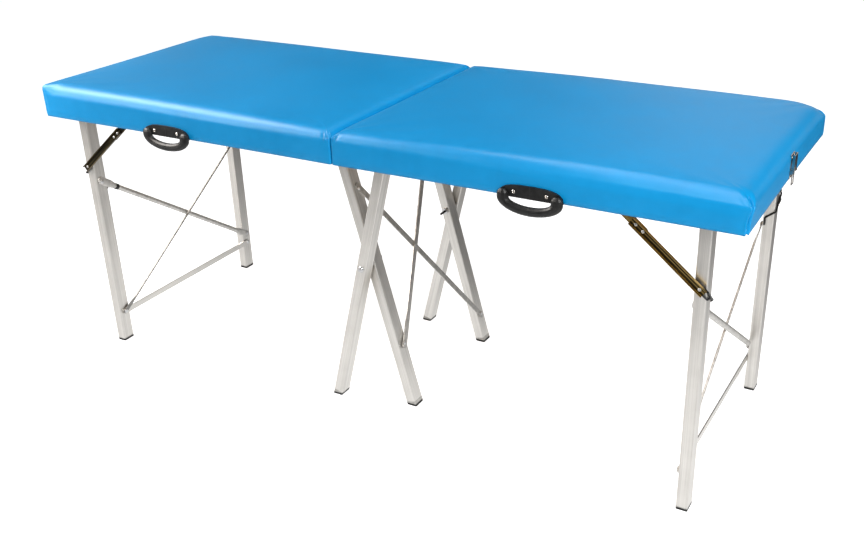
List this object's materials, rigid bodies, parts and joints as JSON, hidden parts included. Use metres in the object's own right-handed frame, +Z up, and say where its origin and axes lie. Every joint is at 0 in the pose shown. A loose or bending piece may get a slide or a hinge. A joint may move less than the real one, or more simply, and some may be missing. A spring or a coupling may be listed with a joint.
{
  "type": "folding massage table",
  "caption": "Folding massage table: two padded vinyl halves on a centre hinge, braced fold-in end legs, crossed centre legs, hooked stays, carrying handles and a case latch.",
  "frame": {"origin": "floor, under the middle of the open table's box", "axes": "+X along the table towards the latch end, +Y away from the handles, +Z up"},
  "size_m": [1.8166, 0.6644, 0.74],
  "materials": {
    "blue_vinyl": "glossy vinyl",
    "plywood": "bare",
    "satin_aluminium": "satin",
    "bright_steel": "zinc plated",
    "black_plastic": "semi-gloss",
    "yellow_zinc": "yellow passivated zinc",
    "black_wire": "black oxide",
    "chrome": "polished"
  },
  "bodies": {
    "left_half": {"left_cushion": "blue_vinyl", "left_box_frame": "plywood", "left_board": "plywood", "left_hinge_leaf": "bright_steel", "left_centre_shaft": "bright_steel", "left_handle": "black_plastic", "left_near_leg_bracket": "bright_steel", "left_far_leg_bracket": "bright_steel", "hinge_pin": "bright_steel", "latch_keeper": "chrome"},
    "right_half": {"right_cushion": "blue_vinyl", "right_box_frame": "plywood", "right_board": "plywood", "right_hinge_leaf": "bright_steel", "right_centre_shaft": "bright_steel", "right_handle": "black_plastic", "right_near_leg_bracket": "bright_steel", "right_far_leg_bracket": "bright_steel", "latch_plate": "chrome"},
    "left_near_stay": {"left_near_stay_bar": "yellow_zinc", "left_near_stay_channel": "yellow_zinc"},
    "left_far_stay": {"left_far_stay_bar": "yellow_zinc", "left_far_stay_channel": "yellow_zinc"},
    "left_leg_frame": {"left_near_leg": "satin_aluminium", "left_near_foot": "black_plastic", "left_near_stay_hook": "black_wire", "left_far_leg": "satin_aluminium", "left_far_foot": "black_plastic", "left_far_stay_hook": "black_wire", "left_crossbar": "satin_aluminium", "left_diagonal_tube": "satin_aluminium", "left_diagonal_rod": "satin_aluminium"},
    "right_near_stay": {"right_near_stay_bar": "yellow_zinc", "right_near_stay_channel": "yellow_zinc"},
    "right_far_stay": {"right_far_stay_bar": "yellow_zinc", "right_far_stay_channel": "yellow_zinc"},
    "right_leg_frame": {"right_near_leg": "satin_aluminium", "right_near_foot": "black_plastic", "right_near_stay_hook": "black_wire", "right_far_leg": "satin_aluminium", "right_far_foot": "black_plastic", "right_far_stay_hook": "black_wire", "right_crossbar": "satin_aluminium", "right_diagonal_tube": "satin_aluminium", "right_diagonal_rod": "satin_aluminium"},
    "inner_centre_legs": {"inner_centre_near_leg": "satin_aluminium", "inner_centre_near_foot": "black_plastic", "inner_centre_far_leg": "satin_aluminium", "inner_centre_far_foot": "black_plastic", "centre_brace_falling": "satin_aluminium", "centre_brace_rising": "satin_aluminium", "centre_near_cross_bolt": "bright_steel", "centre_far_cross_bolt": "bright_steel"},
    "outer_centre_legs": {"outer_centre_near_leg": "satin_aluminium", "outer_centre_near_foot": "black_plastic", "outer_centre_far_leg": "satin_aluminium", "outer_centre_far_foot": "black_plastic"},
    "latch_lever": {"latch_lever": "chrome"},
    "latch_loop": {"latch_loop": "chrome"}
  },
  "joints": [
    {"name": "centre_fold", "type": "hinge", "parent": "left_half", "child": "right_half", "pos_m": [0, 0.00715, 0.6557], "axis": [0, 1, 0], "range_deg": [0, 96]},
    {"name": "left_leg_fold", "type": "hinge", "parent": "left_half", "child": "left_leg_frame", "pos_m": [-0.8155, 0.00715, 0.676], "axis": [0, -1, 0], "range_deg": [0, 90]},
    {"name": "left_near_stay_swing", "type": "hinge", "parent": "left_half", "child": "left_near_stay", "pos_m": [-0.6235, -0.28515, 0.682], "axis": [0, -1, 0], "range_deg": [0, 140.4]},
    {"name": "left_far_stay_swing", "type": "hinge", "parent": "left_half", "child": "left_far_stay", "pos_m": [-0.6235, 0.29945, 0.682], "axis": [0, -1, 0], "range_deg": [0, 140.4]},
    {"name": "right_leg_fold", "type": "hinge", "parent": "right_half", "child": "right_leg_frame", "pos_m": [0.8155, 0.00715, 0.676], "axis": [0, 1, 0], "range_deg": [0, 90]},
    {"name": "right_near_stay_swing", "type": "hinge", "parent": "right_half", "child": "right_near_stay", "pos_m": [0.6235, -0.28515, 0.682], "axis": [0, 1, 0], "range_deg": [0, 140.4]},
    {"name": "right_far_stay_swing", "type": "hinge", "parent": "right_half", "child": "right_far_stay", "pos_m": [0.6235, 0.29945, 0.682], "axis": [0, 1, 0], "range_deg": [0, 140.4]},
    {"name": "inner_centre_legs_fold", "type": "hinge", "parent": "left_half", "child": "inner_centre_legs", "pos_m": [-0.08, 0.00715, 0.676], "axis": [0, 1, 0], "range_deg": [0, 50.8]},
    {"name": "outer_centre_legs_fold", "type": "hinge", "parent": "right_half", "child": "outer_centre_legs", "pos_m": [0.08, 0.00715, 0.676], "axis": [0, -1, 0], "range_deg": [0, 50.8]},
    {"name": "latch_lever_lift", "type": "hinge", "parent": "right_half", "child": "latch_lever", "pos_m": [0.9041, 0.00715, 0.678], "axis": [0, 1, 0], "range_deg": [0, 110]},
    {"name": "latch_loop_swing", "type": "hinge", "parent": "latch_lever", "child": "latch_loop", "pos_m": [0.9041, 0.00715, 0.686], "axis": [0, 1, 0], "range_deg": [-110, 0]}
  ],
  "couplings": [
    {"joint": "left_near_stay_swing", "follows": "left_leg_fold", "ratio": 1.56},
    {"joint": "left_far_stay_swing", "follows": "left_leg_fold", "ratio": 1.56},
    {"joint": "right_near_stay_swing", "follows": "right_leg_fold", "ratio": 1.56},
    {"joint": "right_far_stay_swing", "follows": "right_leg_fold", "ratio": 1.56},
    {"joint": "inner_centre_legs_fold", "follows": "centre_fold", "ratio": 0.529},
    {"joint": "outer_centre_legs_fold", "follows": "centre_fold", "ratio": 0.529},
    {"joint": "latch_loop_swing", "follows": "latch_lever_lift", "ratio": -1}
  ]
}
